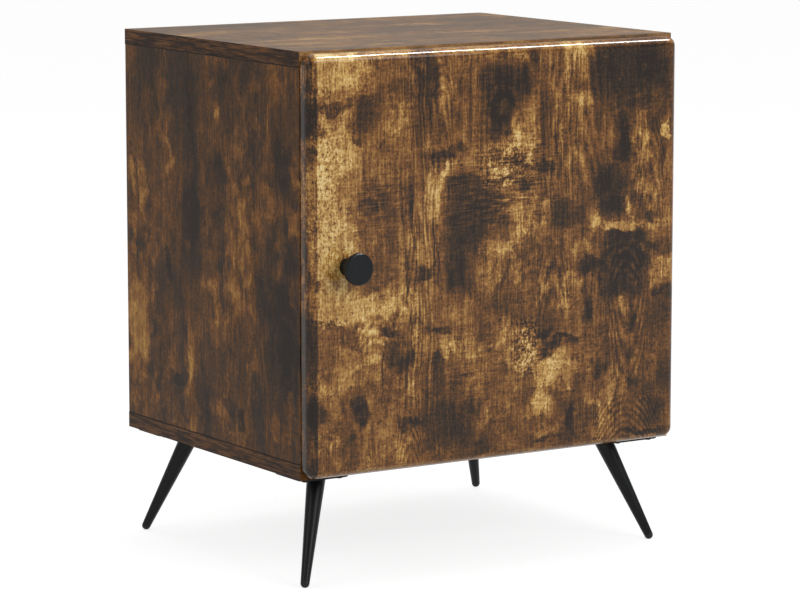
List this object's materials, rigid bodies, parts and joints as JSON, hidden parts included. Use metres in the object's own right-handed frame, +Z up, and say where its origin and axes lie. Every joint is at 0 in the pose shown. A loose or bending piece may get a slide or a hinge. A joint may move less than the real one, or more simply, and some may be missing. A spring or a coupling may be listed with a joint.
{
  "type": "storage side table with door",
  "caption": "Box-shaped side table with a hinged, round-cornered door, a shelf inside and splayed, tapered steel legs.",
  "frame": {"origin": "on the floor, under the middle of the table's overall box", "axes": "+X to the right as seen from the front, +Y to the back, +Z up; the door is at -Y"},
  "size_m": [0.42, 0.368, 0.5],
  "materials": {
    "carcass_board": "satin laminate with vertical rustic wood grain",
    "edge_band": "satin edge strip with grain along its length",
    "hardboard": "thin brown hardboard",
    "cam_zinc": "die-cast zinc",
    "bolt_steel": "zinc-plated steel",
    "dowel_wood": "fluted beech",
    "pin_steel": "nickel-plated steel",
    "leg_steel": "satin black powder coat",
    "glide_plastic": "black nylon",
    "leg_screw_steel": "black steel",
    "door_board": "high-gloss golden rustic wood foil",
    "knob_black": "satin black lacquer on zinc",
    "bumper_rubber": "soft clear-grey pad",
    "hinge_steel": "nickel-plated pressed steel",
    "hinge_screw_steel": "nickel-plated steel"
  },
  "bodies": {
    "box": {"back_left_foot_glide": "glide_plastic", "back_left_leg_plate": "leg_steel", "back_left_leg_screws": "leg_screw_steel", "back_left_leg_tube": "leg_steel", "back_left_shelf_pin": "pin_steel", "back_panel": "hardboard", "back_right_foot_glide": "glide_plastic", "back_right_leg_plate": "leg_steel", "back_right_leg_screws": "leg_screw_steel", "back_right_leg_tube": "leg_steel", "back_right_shelf_pin": "pin_steel", "bottom_left_edge_band": "edge_band", "bottom_panel": "carcass_board", "bottom_right_edge_band": "edge_band", "cam_bolts": "bolt_steel", "dowels": "dowel_wood", "front_left_foot_glide": "glide_plastic", "front_left_leg_plate": "leg_steel", "front_left_leg_screws": "leg_screw_steel", "front_left_leg_tube": "leg_steel", "front_left_shelf_pin": "pin_steel", "front_right_foot_glide": "glide_plastic", "front_right_leg_plate": "leg_steel", "front_right_leg_screws": "leg_screw_steel", "front_right_leg_tube": "leg_steel", "front_right_shelf_pin": "pin_steel", "left_cam_discs": "cam_zinc", "left_side_panel": "carcass_board", "lower_hinge_arm": "hinge_steel", "lower_hinge_arm_pins": "hinge_screw_steel", "lower_hinge_arm_screws": "hinge_screw_steel", "lower_hinge_mounting_plate": "hinge_steel", "lower_hinge_plate_screws": "hinge_screw_steel", "right_cam_discs": "cam_zinc", "right_side_panel": "carcass_board", "shelf": "carcass_board", "top_left_edge_band": "edge_band", "top_panel": "carcass_board", "top_right_edge_band": "edge_band", "upper_hinge_arm": "hinge_steel", "upper_hinge_arm_pins": "hinge_screw_steel", "upper_hinge_arm_screws": "hinge_screw_steel", "upper_hinge_mounting_plate": "hinge_steel", "upper_hinge_plate_screws": "hinge_screw_steel"},
    "outer_links": {"lower_hinge_outer_link": "hinge_steel", "upper_hinge_outer_link": "hinge_steel"},
    "inner_links": {"lower_hinge_inner_link": "hinge_steel", "upper_hinge_inner_link": "hinge_steel"},
    "door": {"door_panel": "door_board", "knob": "knob_black", "knob_screw": "bolt_steel", "door_bumpers": "bumper_rubber", "lower_hinge_cup": "hinge_steel", "lower_hinge_cup_screws": "hinge_screw_steel", "lower_hinge_cup_pins": "hinge_screw_steel", "upper_hinge_cup": "hinge_steel", "upper_hinge_cup_screws": "hinge_screw_steel", "upper_hinge_cup_pins": "hinge_screw_steel"}
  },
  "joints": [
    {"name": "outer_links_swing", "type": "hinge", "parent": "box", "child": "outer_links", "pos_m": [0.184, -0.1374, 0.302], "axis": [0, 0, -1], "range_deg": [0, 34.2]},
    {"name": "door_swing", "type": "hinge", "parent": "outer_links", "child": "door", "pos_m": [0.1996, -0.1495, 0.302], "axis": [0, 0, 1], "range_deg": [0, 129.2]},
    {"name": "inner_links_swing", "type": "hinge", "parent": "box", "child": "inner_links", "pos_m": [0.18422, -0.1516, 0.302], "axis": [0, 0, -1], "range_deg": [0, 33.97]}
  ],
  "couplings": [
    {"joint": "outer_links_swing", "follows": "door_swing", "ratio": 0.26471},
    {"joint": "inner_links_swing", "follows": "door_swing", "ratio": 0.26293}
  ]
}
